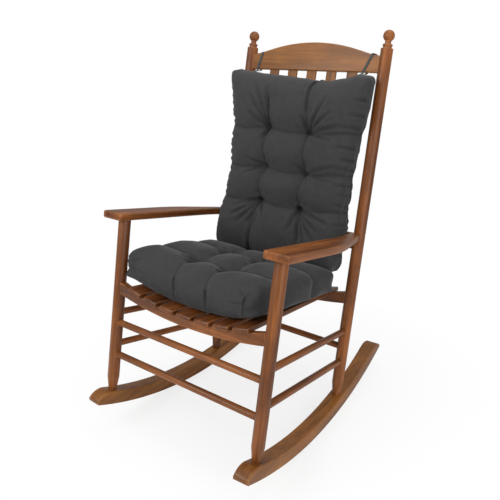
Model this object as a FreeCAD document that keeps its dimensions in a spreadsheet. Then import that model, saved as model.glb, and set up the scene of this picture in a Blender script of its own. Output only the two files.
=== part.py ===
# A slat-seat porch rocking chair in turned and sawn hickory, with two tufted cushions.
#
# The chair is drawn upright, as it stands on the bench, and then leans back on its rockers:
#   chair frame: x across, y from front to back, z along the front posts, origin between their feet
#   seat frame:  the chair frame raised and tilted so that its xy plane is the top of the seat rails
#   back frame:  the chair frame moved to the back posts' feet and tilted along those posts
#   arm frame:   the chair frame raised to the underside of the arms and tilted with them
# In the part's own frame x is the sitter's left, -y the front and z up from the floor.

import FreeCAD, Part
import Sketcher
import math
import os

Vector = FreeCAD.Vector
Placement = FreeCAD.Placement
Rotation = FreeCAD.Rotation
X_AXIS = Vector(1, 0, 0)
Y_AXIS = Vector(0, 1, 0)
Z_AXIS = Vector(0, 0, 1)

doc = FreeCAD.newDocument("rocking_chair")
sheet = doc.addObject("Spreadsheet::Sheet", "sizes")


# The driving dimensions, in millimetres and degrees. Names ending in count are counts.
DIMENSIONS = [
    # stance
    ("recline_angle", 13.4),
    ("front_foot_from_contact", 400.4),
    ("nose_reach", 473.2),
    ("tail_reach", 385.9),
    # rockers
    ("rocker_radius", 1070.0),
    ("rocker_depth", 40.0),
    ("rocker_width", 47.0),
    ("rocker_edge_ease", 2.5),
    ("nose_roll", 50.0),
    ("nose_roll_radius", 49.0),
    ("nose_tip", 11.0),
    ("tail_roll", 62.0),
    ("tail_roll_radius", 65.0),
    ("tail_tip", 8.0),
    # posts
    ("front_spread", 282.0),
    ("back_spread", 258.0),
    ("post_depth_apart", 480.0),
    ("back_post_splay_angle", 0.63),
    ("back_lean_angle", 0.45),
    ("post_diameter", 36.5),
    ("foot_diameter", 24.0),
    ("foot_taper", 44.0),
    ("foot_tenon_diameter", 21.0),
    ("foot_tenon_length", 24.0),
    ("front_post_height", 546.0),
    ("arm_tenon_diameter", 22.0),
    ("arm_tenon_length", 13.0),
    # finials on the back posts
    ("finial_centre", 1129.0),
    ("finial_ball_radius", 17.0),
    ("finial_neck_radius", 9.0),
    ("finial_neck_height", 9.0),
    ("finial_bead_radius", 13.0),
    ("finial_bead_swell", 2.5),
    ("finial_bead_height", 7.0),
    ("finial_collar_height", 6.0),
    # turned stretchers
    ("rung_diameter", 20.5),
    ("rung_socket_depth", 21.0),
    ("rung_end_gap", 0.8),
    ("front_rung_low", 122.0),
    ("front_rung_high", 224.5),
    ("side_rung_low", 152.5),
    ("side_rung_high", 255.0),
    ("rear_rung_height", 198.5),
    # seat rails and slats
    ("seat_height", 316.5),
    ("seat_rise_angle", 3.6),
    ("rail_thickness", 22.0),
    ("rail_top_radius", 960.0),
    ("rail_bottom_radius", 1290.0),
    ("rail_middle_height", 25.5),
    ("tenon_thickness", 11.0),
    ("rail_tenon_height", 20.0),
    ("tenon_depth", 19.0),
    ("slat_count", 7),
    ("slat_width", 50.5),
    ("slat_thickness", 12.5),
    ("slat_front_pitch", 66.0),
    ("slat_rear_pitch", 59.0),
    ("slat_front_overhang", 11.0),
    ("slat_rear_overhang", 10.0),
    ("slat_nose_round", 6.0),
    # arms
    ("arm_thickness", 21.0),
    ("arm_rise_angle", 0.75),
    ("arm_front_reach", 46.0),
    ("arm_outer_overhang", 47.0),
    ("arm_inner_overhang", 31.0),
    ("arm_outer_turn", 170.0),
    ("arm_outer_radius", 480.0),
    ("arm_outer_sweep_angle", 16.0),
    ("arm_inner_turn", 280.0),
    ("arm_inner_radius", 900.0),
    ("arm_cope_depth", 5.0),
    ("arm_corner_round", 9.0),
    ("arm_edge_ease", 3.0),
    ("arm_dowel_diameter", 10.0),
    ("arm_dowel_length", 24.0),
    # crest rail, lower back rail and back slats
    ("crest_foot", 1022.5),
    ("crest_middle_height", 86.5),
    ("crest_thickness", 20.0),
    ("crest_arch_radius", 600.0),
    ("crest_arch_sweep_angle", 15.2),
    ("crest_slope_length", 32.0),
    ("crest_ear_radius", 268.0),
    ("crest_tenon_height", 28.0),
    ("crest_edge_ease", 2.5),
    ("lumbar_rail_foot", 488.0),
    ("lumbar_rail_height", 48.0),
    ("lumbar_tenon_height", 30.0),
    ("back_slat_count", 5),
    ("back_slat_width", 34.0),
    ("back_slat_thickness", 9.0),
    ("back_slat_pitch", 72.0),
    ("back_slat_tenon", 14.0),
    ("back_slat_edge_ease", 1.5),
    # seat cushion
    ("seat_cushion_side_gap", 15.75),
    ("seat_cushion_front", 16.0),
    ("seat_cushion_length", 378.0),
    ("seat_cushion_height", 133.0),
    ("seat_tuft_spread", 62.0),
    ("seat_channel_depth", 13.0),
    # back cushion
    ("back_cushion_width", 520.0),
    ("back_cushion_foot", 412.0),
    ("back_cushion_below_crest", 17.5),
    ("back_cushion_thickness", 100.0),
    ("back_cushion_bow_radius", 2900.0),
    ("back_cushion_waist", 28.0),
    ("back_cushion_waist_end", 200.0),
    ("back_tuft_spread", 75.0),
    ("back_channel_depth", 14.0),
    # tufts of both cushions
    ("tuft_radius", 36.0),
    ("tuft_depth", 20.0),
    ("tuft_stitch_radius", 3.0),
    ("cushion_corner_round", 30.0),
    # ties that hold the back cushion to the crest rail
    ("tie_spread", 205.0),
    ("tie_width", 8.0),
    ("tie_thickness", 1.4),
    ("tie_seam_forward", 46.0),
    # fits
    ("joint_clearance", 0.1),
    ("seat_clearance", 0.3),
    ("cutter_overrun", 6.0),
]

for row, (alias, number) in enumerate(DIMENSIONS, start=1):
    sheet.set(f"A{row}", alias)
    sheet.set(f"B{row}", str(number))
    sheet.setAlias(f"B{row}", alias)
doc.recompute()


class Size:
    """A length or angle with the sheet formula that it comes from."""

    def __init__(self, value, formula):
        self.value = float(value)
        self.formula = formula

    def _with(self, other, sign, result):
        text = other.formula if isinstance(other, Size) else repr(other)
        return Size(result, f"({self.formula} {sign} {text})")

    def __add__(self, other):
        return self._with(other, "+", self.value + number_of(other))

    def __sub__(self, other):
        return self._with(other, "-", self.value - number_of(other))

    def __mul__(self, other):
        return self._with(other, "*", self.value * number_of(other))

    def __truediv__(self, other):
        return self._with(other, "/", self.value / number_of(other))

    def __neg__(self):
        return Size(-self.value, f"(-{self.formula})")


ZERO = Size(0, "0")


def number_of(size):
    return size.value if isinstance(size, Size) else float(size)


def dim(alias):
    return Size(sheet.get(alias), f"sizes.{alias}")


def count(alias):
    return int(sheet.get(alias))


def sine(angle):
    return Size(math.sin(math.radians(angle.value)), f"sin({angle.formula} * 1 deg)")


def cosine(angle):
    return Size(math.cos(math.radians(angle.value)), f"cos({angle.formula} * 1 deg)")


def versine(angle):
    return Size(1 - math.cos(math.radians(angle.value)), f"(1 - cos({angle.formula} * 1 deg))")


def tangent(angle):
    return Size(math.tan(math.radians(angle.value)), f"tan({angle.formula} * 1 deg)")


def root(square):
    return Size(math.sqrt(square.value), f"sqrt({square.formula})")


def sagitta(radius, half_chord):
    """How far an arc of this radius rises over half its chord."""
    return radius - root(radius * radius - half_chord * half_chord)


def bind(feature, name, size):
    feature.setExpression(name, size.formula)


# Drawing helpers. A sketch numbers the start and the end of a line or arc.

START_POINT = 1
END_POINT = 2

class Outline:
    """A closed sketch of lines and arcs whose corners are bound to the sheet."""

    def __init__(self, body, plane_role, name, start, steps):
        self.sketch = body.newObject("Sketcher::SketchObject", name)
        plane = [item for item in body.Origin.OriginFeatures if item.Role == plane_role][0]
        self.sketch.AttachmentSupport = [(plane, "")]
        self.sketch.MapMode = "FlatFace"
        corners = [start] + [(step[1], step[2]) for step in steps]
        ends = []
        for index, step in enumerate(steps):
            ends.append(self._draw(step, corners[index], corners[index + 1]))
        for index, (geometry, first, last) in enumerate(ends):
            following = ends[(index + 1) % len(ends)]
            self._add("Coincident", geometry, last, following[0], following[1])
            self._fix(geometry, first, corners[index])

    def _add(self, *arguments):
        return self.sketch.addConstraint(Sketcher.Constraint(*arguments))

    def _draw(self, step, start, end):
        """Add one line or arc, and return it with the ends at its start and at its end."""
        first = Vector(start[0].value, start[1].value, 0)
        last = Vector(end[0].value, end[1].value, 0)
        if step[0] == "line":
            return self.sketch.addGeometry(Part.LineSegment(first, last), False), START_POINT, END_POINT
        radius = step[3]
        chord = last - first
        across = Vector(-chord.y, chord.x, 0).normalize()
        height = math.sqrt(max(radius.value ** 2 - (chord.Length / 2) ** 2, 0))
        turn = 1 if step[0] == "bulge right" else -1
        centre = (first + last) * 0.5 + across * (height * turn)
        circle = Part.Circle(centre, Z_AXIS, radius.value)
        start_angle = math.atan2(first.y - centre.y, first.x - centre.x)
        end_angle = math.atan2(last.y - centre.y, last.x - centre.x)
        if turn == 1:
            arc = Part.ArcOfCircle(circle, start_angle, end_angle)
            ends = (START_POINT, END_POINT)
        else:
            arc = Part.ArcOfCircle(circle, end_angle, start_angle)
            ends = (END_POINT, START_POINT)
        geometry = self.sketch.addGeometry(arc, False)
        bound = self._add("Radius", geometry, radius.value)
        self.sketch.setExpression(f"Constraints[{bound}]", radius.formula)
        return geometry, ends[0], ends[1]

    def _fix(self, geometry, position, corner):
        """Hold one corner at its distances from the sketch's origin."""
        for size, kind, axis in ((corner[0], "DistanceX", -2), (corner[1], "DistanceY", -1)):
            if size is ZERO:
                self._add("PointOnObject", geometry, position, axis)
            elif size.value > 0:
                bound = self._add(kind, -1, 1, geometry, position, size.value)
                self.sketch.setExpression(f"Constraints[{bound}]", size.formula)
            else:
                bound = self._add(kind, geometry, position, -1, 1, -size.value)
                self.sketch.setExpression(f"Constraints[{bound}]", f"-{size.formula}")


def line(x, y):
    return ("line", x, y)


def bulge_left(x, y, radius):
    """An arc to (x, y) that bulges to the left of the way there."""
    return ("bulge left", x, y, radius)


def bulge_right(x, y, radius):
    return ("bulge right", x, y, radius)


def mirrored(start, steps):
    """The same outline on the other side of the y axis."""
    other = {"line": "line", "bulge left": "bulge right", "bulge right": "bulge left"}
    return (-start[0], start[1]), [(other[step[0]], -step[1]) + tuple(step[2:]) for step in steps]


def turned(name, start, steps):
    """A piece turned about its own z axis from an outline of radius and height."""
    body = doc.addObject("PartDesign::Body", name)
    profile = Outline(body, "XZ_Plane", f"{name}_profile", start, steps).sketch
    spin = body.newObject("PartDesign::Revolution", f"{name}_turning")
    spin.Profile = profile
    spin.ReferenceAxis = (profile, ["V_Axis"])
    spin.Angle = 360
    body.Tip = spin
    return body


def board(name, plane_role, thickness, start, steps, both_ways=True):
    """A flat piece sawn to an outline."""
    body = doc.addObject("PartDesign::Body", name)
    profile = Outline(body, plane_role, f"{name}_outline", start, steps).sketch
    pad = body.newObject("PartDesign::Pad", f"{name}_pad")
    pad.Profile = profile
    pad.Midplane = both_ways
    bind(pad, "Length", thickness)
    body.Tip = pad
    doc.recompute()
    return body, pad


def ease(body, base, size, wanted):
    """Take the sharp corner off the edges of base for which wanted(edge) is true."""
    names = [f"Edge{number}" for number, edge in enumerate(base.Shape.Edges, start=1) if wanted(edge)]
    chamfer = body.newObject("PartDesign::Chamfer", f"{body.Name}_eased")
    chamfer.Base = (base, names)
    bind(chamfer, "Size", size)
    body.Tip = chamfer


def cylinder(name, radius, height, frame):
    """A cylinder along the z axis of frame, centred on its origin."""
    piece = doc.addObject("Part::Cylinder", name)
    bind(piece, "Radius", radius)
    bind(piece, "Height", height)
    piece.Placement = frame.multiply(Placement(Vector(0, 0, -height.value / 2), Rotation()))
    return piece


def block(name, length, width, height, frame):
    """A box centred on the origin of frame."""
    piece = doc.addObject("Part::Box", name)
    bind(piece, "Length", length)
    bind(piece, "Width", width)
    bind(piece, "Height", height)
    corner = Vector(-length.value / 2, -width.value / 2, -height.value / 2)
    piece.Placement = frame.multiply(Placement(corner, Rotation()))
    return piece


def fused(name, pieces):
    fusion = doc.addObject("Part::MultiFuse", name)
    fusion.Shapes = pieces
    fusion.Refine = True
    return fusion


def without(name, base, cutters):
    """base with every cutter taken out of it."""
    if not cutters:
        return base
    tool = cutters[0]
    if len(cutters) > 1:
        tool = doc.addObject("Part::MultiFuse", f"{name}_cutters")
        tool.Shapes = cutters
    cut = doc.addObject("Part::Cut", name)
    cut.Base = base
    cut.Tool = tool
    return cut


def at(x, y, z):
    return Placement(Vector(number_of(x), number_of(y), number_of(z)), Rotation())


nodes = {}
sockets = {}


def finish(node, piece, frame):
    """Name a finished piece and stand it in the part's own frame."""
    piece.Label = node
    piece.Placement = frame.multiply(piece.Placement)
    nodes[node] = piece


def add_socket(node, cutter):
    """Keep a cutter for a piece that is made after the neighbour it holds."""
    sockets.setdefault(node, []).append(cutter)


# Stance. The feet stand on the rockers' upper curve, whose centre is above the point of contact.

SIDES = (("left", 1), ("right", -1))
clearance = dim("joint_clearance")
overrun = dim("cutter_overrun")
post_radius = dim("post_diameter") / 2
recline = dim("recline_angle")
rocker_radius = dim("rocker_radius")
rocker_top_radius = rocker_radius - dim("rocker_depth")
front_foot_from_contact = dim("front_foot_from_contact")
centre_over_foot = root(rocker_top_radius * rocker_top_radius
                        - front_foot_from_contact * front_foot_from_contact)
centre_behind = front_foot_from_contact * cosine(recline) - centre_over_foot * sine(recline)
centre_above = front_foot_from_contact * sine(recline) + centre_over_foot * cosine(recline)
back_foot_behind = dim("post_depth_apart") - centre_behind
back_foot_rise = centre_above - root(rocker_top_radius * rocker_top_radius
                                     - back_foot_behind * back_foot_behind)
feet_apart = dim("post_depth_apart") * cosine(recline) + back_foot_rise * sine(recline)
toe_in = math.atan2(dim("front_spread").value - dim("back_spread").value, feet_apart.value)
contact_place = (dim("nose_reach") - dim("tail_reach")) / 2
front_foot_place = contact_place - front_foot_from_contact

chair = Placement(
    Vector(0, front_foot_place.value, rocker_radius.value - centre_over_foot.value),
    Rotation(X_AXIS, -recline.value))
seat = Placement(Vector(0, 0, dim("seat_height").value), Rotation(X_AXIS, dim("seat_rise_angle").value))
back = Placement(
    Vector(0, dim("post_depth_apart").value, back_foot_rise.value),
    Rotation(X_AXIS, -dim("back_lean_angle").value))
arm_height = dim("front_post_height") + post_radius * tangent(dim("arm_rise_angle")) + clearance
arm = Placement(Vector(0, 0, arm_height.value), Rotation(X_AXIS, dim("arm_rise_angle").value))


def front_post_frame(side):
    return at(dim("front_spread") * side, 0, 0)


def back_post_frame(side):
    splay = Placement(Vector(0, 0, 0), Rotation(Y_AXIS, -side * dim("back_post_splay_angle").value))
    return back.multiply(at(dim("back_spread") * side, 0, 0)).multiply(splay)


def back_spread_at(height):
    """Half the distance between the back posts' axes at a height in the chair frame."""
    return dim("back_spread") - (height - back_foot_rise) * tangent(dim("back_post_splay_angle"))


def back_depth_at(height):
    """How far the back posts' axes lie behind the front ones at a height in the chair frame."""
    return dim("post_depth_apart") + (height - back_foot_rise) * tangent(dim("back_lean_angle"))


def back_post_at(side, height):
    return Vector(side * back_spread_at(height).value, back_depth_at(height).value, height.value)


def rocker_frame(side):
    """The rocker's own frame: y along it, z up, origin where it meets the floor."""
    beside_foot = front_foot_from_contact.value * math.tan(toe_in)
    base = Vector(side * (dim("front_spread").value - beside_foot), contact_place.value, 0)
    return Placement(base, Rotation(Z_AXIS, side * math.degrees(toe_in)))


def along_line(start, end):
    """A frame whose z axis runs from start to end, with its origin halfway."""
    return Placement((start + end) * 0.5, Rotation(Z_AXIS, end - start))


front_posts = [(f"front_post_{name}", front_post_frame(side)) for name, side in SIDES]
back_posts = [(f"back_post_{name}", back_post_frame(side)) for name, side in SIDES]


# Stretchers: plain turned rungs in drilled sockets

def rung_between(node, posts, first, second, span):
    """A rung between two posts' axes, and the socket for it in each post."""
    past_axis = dim("rung_socket_depth") - post_radius
    frame = along_line(first, second)
    length = span + past_axis * 2 - dim("rung_end_gap") * 2
    finish(node, cylinder(f"{node}_turned", dim("rung_diameter") / 2, length, frame), chair)
    depth = dim("rung_socket_depth") + overrun
    middle = span / 2 + past_axis - depth / 2
    for post, place in ((posts[0], -middle), (posts[1], middle)):
        add_socket(post, cylinder(f"{node}_socket_{post}", dim("rung_diameter") / 2 + clearance,
                                  depth, frame.multiply(at(0, 0, place))))


for level in ("low", "high"):
    height = dim(f"front_rung_{level}")
    ends = [Vector(side * dim("front_spread").value, 0, height.value) for _, side in SIDES]
    rung_between(f"front_stretcher_{level}", ("front_post_left", "front_post_right"),
                 ends[0], ends[1], dim("front_spread") * 2)
    height = dim(f"side_rung_{level}")
    inward = dim("front_spread") - back_spread_at(height)
    length = root(back_depth_at(height) * back_depth_at(height) + inward * inward)
    for name, side in SIDES:
        rung_between(f"side_stretcher_{name}_{level}", (f"front_post_{name}", f"back_post_{name}"),
                     Vector(side * dim("front_spread").value, 0, height.value),
                     back_post_at(side, height), length)

height = dim("rear_rung_height")
rung_between("rear_stretcher", ("back_post_left", "back_post_right"),
             back_post_at(1, height), back_post_at(-1, height), back_spread_at(height) * 2)


# Rails, scribed to the round posts and tenoned into them

def tenoned_rail(node, body, frame, posts, spread, tenon_height, tenon_middle):
    """Scribe a rail between two posts, and give it a tenon and each post a mortise."""
    body.Placement = frame
    reach = dim("finial_centre") * 2
    scribes = [cylinder(f"{node}_scribe_{post}", post_radius + clearance, reach, post_frame)
               for post, post_frame in posts]
    scribed = without(f"{node}_scribed", body, scribes)
    thickness = dim("tenon_thickness")
    length = dim("tenon_depth") * 1.5
    middle = spread - post_radius + dim("tenon_depth") - length / 2
    tenons = []
    for (post, _), (name, side) in zip(posts, SIDES):
        place = frame.multiply(at(middle * side, 0, tenon_middle))
        tenons.append(block(f"{node}_tenon_{name}", length, thickness, tenon_height, place))
        add_socket(post, block(f"{node}_mortise_{name}", length + clearance * 2,
                               thickness + clearance * 2, tenon_height + clearance * 2, place))
    return fused(f"{node}_with_tenons", [scribed] + tenons)


def dished_rail(node, top_radius, spread, frame, posts):
    """A seat rail whose top and bottom edges dip towards the middle."""
    foot = -dim("rail_middle_height")
    bottom_radius = dim("rail_bottom_radius")
    top_end = sagitta(top_radius, spread)
    bottom_end = foot + sagitta(bottom_radius, spread)
    body, pad = board(node, "XZ_Plane", dim("rail_thickness"), (-spread, bottom_end), [
        bulge_right(spread, bottom_end, bottom_radius),
        line(spread, top_end),
        bulge_left(-spread, top_end, top_radius),
        line(-spread, bottom_end),
    ])
    shoulder = spread - post_radius
    tenon_middle = (sagitta(top_radius, shoulder) + foot + sagitta(bottom_radius, shoulder)) / 2
    return tenoned_rail(node, body, frame, posts, spread, dim("rail_tenon_height"), tenon_middle)


rear_rail_height = dim("seat_height") + dim("post_depth_apart") * tangent(dim("seat_rise_angle"))
rail_distance = back_depth_at(rear_rail_height) / cosine(dim("seat_rise_angle"))
front_rail_radius = dim("rail_top_radius")
rear_rail_radius = front_rail_radius * dim("slat_rear_pitch") / dim("slat_front_pitch")
rear_rail_frame = seat.multiply(at(0, rail_distance, 0))
finish("seat_rail_front", dished_rail("seat_rail_front_board", front_rail_radius,
                                      dim("front_spread"), seat, front_posts), chair)
finish("seat_rail_back", dished_rail("seat_rail_back_board", rear_rail_radius,
                                     back_spread_at(rear_rail_height), rear_rail_frame,
                                     back_posts), chair)


# Seat slats, fanned out from back to front and lying in the dish of the rails

slat_width = dim("slat_width")
slat_thickness = dim("slat_thickness")
slat_lift = sagitta(rear_rail_radius, slat_width / 2) + clearance


def slat_frame(index):
    """The frame of a slat's underside, with its origin over the middle of the front rail."""
    front_x = dim("slat_front_pitch").value * index
    rear_x = dim("slat_rear_pitch").value * index
    front_z = sagitta(front_rail_radius, dim("slat_front_pitch") * index).value
    rear_z = sagitta(rear_rail_radius, dim("slat_rear_pitch") * index).value
    run = Vector(rear_x - front_x, rail_distance.value, rear_z - front_z)
    tilt = math.asin(front_x / front_rail_radius.value)
    across = Vector(math.cos(tilt), 0, math.sin(tilt))
    up = across.cross(run)
    place = Placement(Vector(front_x, 0, front_z), Rotation(across, run, up, "YZX"))
    return place.multiply(at(0, 0, slat_lift))


slat_half_count = (count("slat_count") - 1) / 2
for number in range(count("slat_count")):
    front = -(dim("rail_thickness") / 2 + dim("slat_front_overhang"))
    rear = rail_distance + dim("rail_thickness") / 2 + dim("slat_rear_overhang")
    nose = dim("slat_nose_round")
    node = f"seat_slat_{number + 1}"
    slat, pad = board(f"{node}_board", "YZ_Plane", slat_width, (front, ZERO), [
        line(rear, ZERO),
        line(rear, slat_thickness),
        line(front + nose, slat_thickness),
        bulge_right(front, slat_thickness - nose, nose),
        line(front, ZERO),
    ])
    slat.Placement = seat.multiply(slat_frame(number - slat_half_count))
    finish(node, slat, chair)


# Crest rail: a raised middle that sweeps down in an ogee to the two posts

crest_thickness = dim("crest_thickness")
crest_foot = dim("crest_foot")
crest_top = crest_foot + dim("crest_middle_height")
sweep = dim("crest_arch_sweep_angle")
crest_spread = back_spread_at(crest_foot + back_foot_rise)
arch_end = dim("crest_arch_radius") * sine(sweep)
arch_end_height = crest_top - dim("crest_arch_radius") * versine(sweep)
slope_end = arch_end + dim("crest_slope_length") * cosine(sweep)
slope_end_height = arch_end_height - dim("crest_slope_length") * sine(sweep)
ear_radius = dim("crest_ear_radius")
ear_centre = slope_end + ear_radius * sine(sweep)
ear_centre_height = slope_end_height + ear_radius * cosine(sweep)


def crest_ear_height(across):
    """The height of the crest's top edge where it sweeps out to the post."""
    return ear_centre_height - root(ear_radius * ear_radius
                                    - (ear_centre - across) * (ear_centre - across))


crest, crest_pad = board("crest_board", "XZ_Plane", crest_thickness, (-crest_spread, crest_foot), [
    line(crest_spread, crest_foot),
    line(crest_spread, crest_ear_height(crest_spread)),
    bulge_left(slope_end, slope_end_height, ear_radius),
    line(arch_end, arch_end_height),
    bulge_right(-arch_end, arch_end_height, dim("crest_arch_radius")),
    line(-slope_end, slope_end_height),
    bulge_left(-crest_spread, crest_ear_height(crest_spread), ear_radius),
    line(-crest_spread, crest_foot),
])


def along_crest_face(edge):
    """Whether an edge runs along the front or back face and isn't one of its ends."""
    across = [abs(vertex.Point.x) for vertex in edge.Vertexes]
    flat = all(abs(abs(vertex.Point.y) - crest_thickness.value / 2) < clearance.value
               for vertex in edge.Vertexes)
    end = abs(min(across) - crest_spread.value) < clearance.value
    return flat and not (end and edge.Length < crest_thickness.value * 4)


ease(crest, crest_pad, dim("crest_edge_ease"), along_crest_face)
crest_end_height = crest_ear_height(crest_spread) - crest_foot
crest_rail = tenoned_rail("crest", crest, back, back_posts, crest_spread,
                          dim("crest_tenon_height"), crest_foot + crest_end_height / 2)

lumbar_foot = dim("lumbar_rail_foot")
lumbar_top = lumbar_foot + dim("lumbar_rail_height")
lumbar_middle = (lumbar_foot + lumbar_top) / 2
lumbar_spread = back_spread_at(lumbar_middle + back_foot_rise)
lumbar, lumbar_pad = board("lumbar_board", "XZ_Plane", crest_thickness, (-lumbar_spread, lumbar_foot), [
    line(lumbar_spread, lumbar_foot),
    line(lumbar_spread, lumbar_top),
    line(-lumbar_spread, lumbar_top),
    line(-lumbar_spread, lumbar_foot),
])
lower_rail = tenoned_rail("lumbar", lumbar, back, back_posts, lumbar_spread,
                          dim("lumbar_tenon_height"), lumbar_middle)

slat_foot = lumbar_top - dim("back_slat_tenon")
slat_head = crest_foot + dim("back_slat_tenon")
slat_half = dim("back_slat_width") / 2
mortises = []
for number in range(count("back_slat_count")):
    place = back.multiply(at(dim("back_slat_pitch") * (number - (count("back_slat_count") - 1) / 2), 0, 0))
    node = f"back_slat_{number + 1}"
    slat, pad = board(f"{node}_board", "XZ_Plane", dim("back_slat_thickness"), (-slat_half, slat_foot), [
        line(slat_half, slat_foot),
        line(slat_half, slat_head),
        line(-slat_half, slat_head),
        line(-slat_half, slat_foot),
    ])
    ease(slat, pad, dim("back_slat_edge_ease"), lambda edge: edge.Length > slat_half.value * 4)
    slat.Placement = place
    finish(node, slat, chair)
    mortises.append(block(f"{node}_mortises", dim("back_slat_width") + clearance * 2,
                          dim("back_slat_thickness") + clearance * 2,
                          slat_head - slat_foot + clearance * 2,
                          place.multiply(at(0, 0, (slat_foot + slat_head) / 2))))
finish("crest_rail", without("crest_mortised", crest_rail, mortises), chair)
finish("lower_back_rail", without("lumbar_mortised", lower_rail, mortises), chair)


# Arms: flat boards that bend in towards the back posts, scribed and dowelled to them

arm_top = dim("arm_thickness")
arm_post_depth = back_depth_at(arm_height)
arm_end = arm_post_depth - post_radius + dim("arm_cope_depth")
arm_front = -dim("arm_front_reach")
corner = dim("arm_corner_round")
outer = dim("front_spread") + dim("arm_outer_overhang")
inner = dim("front_spread") - dim("arm_inner_overhang")
outer_turn_end = dim("arm_outer_turn") + dim("arm_outer_radius") * sine(dim("arm_outer_sweep_angle"))
outer_turned = outer - dim("arm_outer_radius") * versine(dim("arm_outer_sweep_angle"))
outer_tip = outer_turned - (arm_end - outer_turn_end) * tangent(dim("arm_outer_sweep_angle"))
inner_tip = inner - sagitta(dim("arm_inner_radius"), arm_end - dim("arm_inner_turn"))
arm_start = (inner + corner, arm_front)
arm_steps = [
    line(outer - corner, arm_front),
    bulge_right(outer, arm_front + corner, corner),
    line(outer, dim("arm_outer_turn")),
    bulge_right(outer_turned, outer_turn_end, dim("arm_outer_radius")),
    line(outer_tip, arm_end),
    line(inner_tip, arm_end),
    bulge_left(inner, dim("arm_inner_turn"), dim("arm_inner_radius")),
    line(inner, arm_front + corner),
    bulge_right(inner + corner, arm_front, corner),
]


def around_arm_faces(edge):
    """Whether an edge runs along the arm's top or underside and isn't at the back post."""
    heights = [vertex.Point.z for vertex in edge.Vertexes]
    level = max(heights) - min(heights) < clearance.value
    at_end = all(abs(vertex.Point.y - arm_end.value) < clearance.value for vertex in edge.Vertexes)
    return level and not at_end


dowels = []
dowel_radius = dim("arm_dowel_diameter") / 2
tenon_radius = dim("arm_tenon_diameter") / 2
for (name, side), (start, steps) in zip(SIDES, ((arm_start, arm_steps), mirrored(arm_start, arm_steps))):
    body, pad = board(f"arm_{name}_board", "XY_Plane", arm_top, start, steps, both_ways=False)
    ease(body, pad, dim("arm_edge_ease"), around_arm_faces)
    body.Placement = arm
    middle = back_post_at(side, arm_height + arm_top / 2)
    joint = arm.multiply(at(middle.x, arm_post_depth - post_radius, arm_top / 2))
    dowel_frame = joint.multiply(Placement(Vector(0, 0, 0), Rotation(X_AXIS, -90)))
    dowels.append(cylinder(f"arm_dowel_{name}", dowel_radius, dim("arm_dowel_length"), dowel_frame))
    dowel_hole = cylinder(f"arm_dowel_hole_{name}", dowel_radius + clearance,
                          dim("arm_dowel_length") + clearance * 2, dowel_frame)
    add_socket(f"back_post_{name}", dowel_hole)
    mortise = cylinder(f"arm_mortise_{name}", tenon_radius + clearance,
                       dim("arm_tenon_length") * 2 + clearance * 2,
                       front_post_frame(side).multiply(at(0, 0, dim("front_post_height"))))
    scribe = cylinder(f"arm_scribe_{name}", post_radius + clearance, dim("finial_centre") * 2,
                      back_post_frame(side))
    finish(f"arm_{name}", without(f"arm_{name}_joined", body, [mortise, scribe, dowel_hole]), chair)

dowel_pair = doc.addObject("Part::Compound", "arm_dowel_pair")
dowel_pair.Links = dowels
finish("arm_dowels", dowel_pair, chair)


# Posts, with a tapered foot scribed to the rocker and a round tenon into it

foot_radius = dim("foot_diameter") / 2
foot_below = dim("foot_taper") / 4
foot_slope = (post_radius - foot_radius) / dim("foot_taper")
foot_tip = foot_radius - foot_below * foot_slope
foot_start = (ZERO, -foot_below)
foot_steps = [line(foot_tip, -foot_below), line(post_radius, dim("foot_taper"))]


def front_post(name):
    shoulder = dim("front_post_height")
    top = shoulder + dim("arm_tenon_length")
    return turned(name, foot_start, foot_steps + [
        line(post_radius, shoulder),
        line(tenon_radius, shoulder),
        line(tenon_radius, top),
        line(ZERO, top),
        line(ZERO, -foot_below),
    ])


def back_post(name):
    """A back post that ends in a collar, a bead, a short neck and a ball."""
    ball = dim("finial_ball_radius")
    neck = dim("finial_neck_radius")
    bead = dim("finial_bead_radius")
    swell = dim("finial_bead_swell")
    bead_height = dim("finial_bead_height")
    centre = dim("finial_centre")
    ball_foot = centre - root(ball * ball - neck * neck)
    bead_top = ball_foot - dim("finial_neck_height")
    bead_foot = bead_top - bead_height
    shoulder = bead_foot - dim("finial_collar_height")
    return turned(name, foot_start, foot_steps + [
        line(post_radius, shoulder),
        line(bead, shoulder),
        line(bead, bead_foot),
        line(bead + swell, bead_foot + bead_height / 2),
        line(bead, bead_top),
        line(neck, bead_top),
        line(neck, ball_foot),
        bulge_right(ZERO, centre + ball, ball),
        line(ZERO, -foot_below),
    ])


def finished_post(node, body, frame, side):
    """Scribe a post's foot to its rocker, add the tenon and drill every socket."""
    body.Placement = frame
    roll = rocker_frame(side).multiply(at(0, 0, rocker_radius))
    hollow = chair.inverse().multiply(roll).multiply(Placement(Vector(0, 0, 0), Rotation(Y_AXIS, 90)))
    inside = cylinder(f"{node}_foot_scribe", rocker_top_radius - clearance,
                      dim("front_spread"), hollow)
    scribed = doc.addObject("Part::Common", f"{node}_scribed")
    scribed.Base = body
    scribed.Tool = inside
    length = dim("foot_tenon_length") * 1.5
    middle = length / 2 - dim("foot_tenon_length")
    tenon = cylinder(f"{node}_foot_tenon", dim("foot_tenon_diameter") / 2, length,
                     frame.multiply(at(0, 0, middle)))
    post = fused(f"{node}_with_tenon", [scribed, tenon])
    finish(node, without(f"{node}_drilled", post, sockets[node]), chair)


for name, side in SIDES:
    finished_post(f"front_post_{name}", front_post(f"front_post_{name}_turned"),
                  front_post_frame(side), side)
    finished_post(f"back_post_{name}", back_post(f"back_post_{name}_turned"),
                  back_post_frame(side), side)


# Rockers, toed in so that each passes under its front and back post

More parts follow.
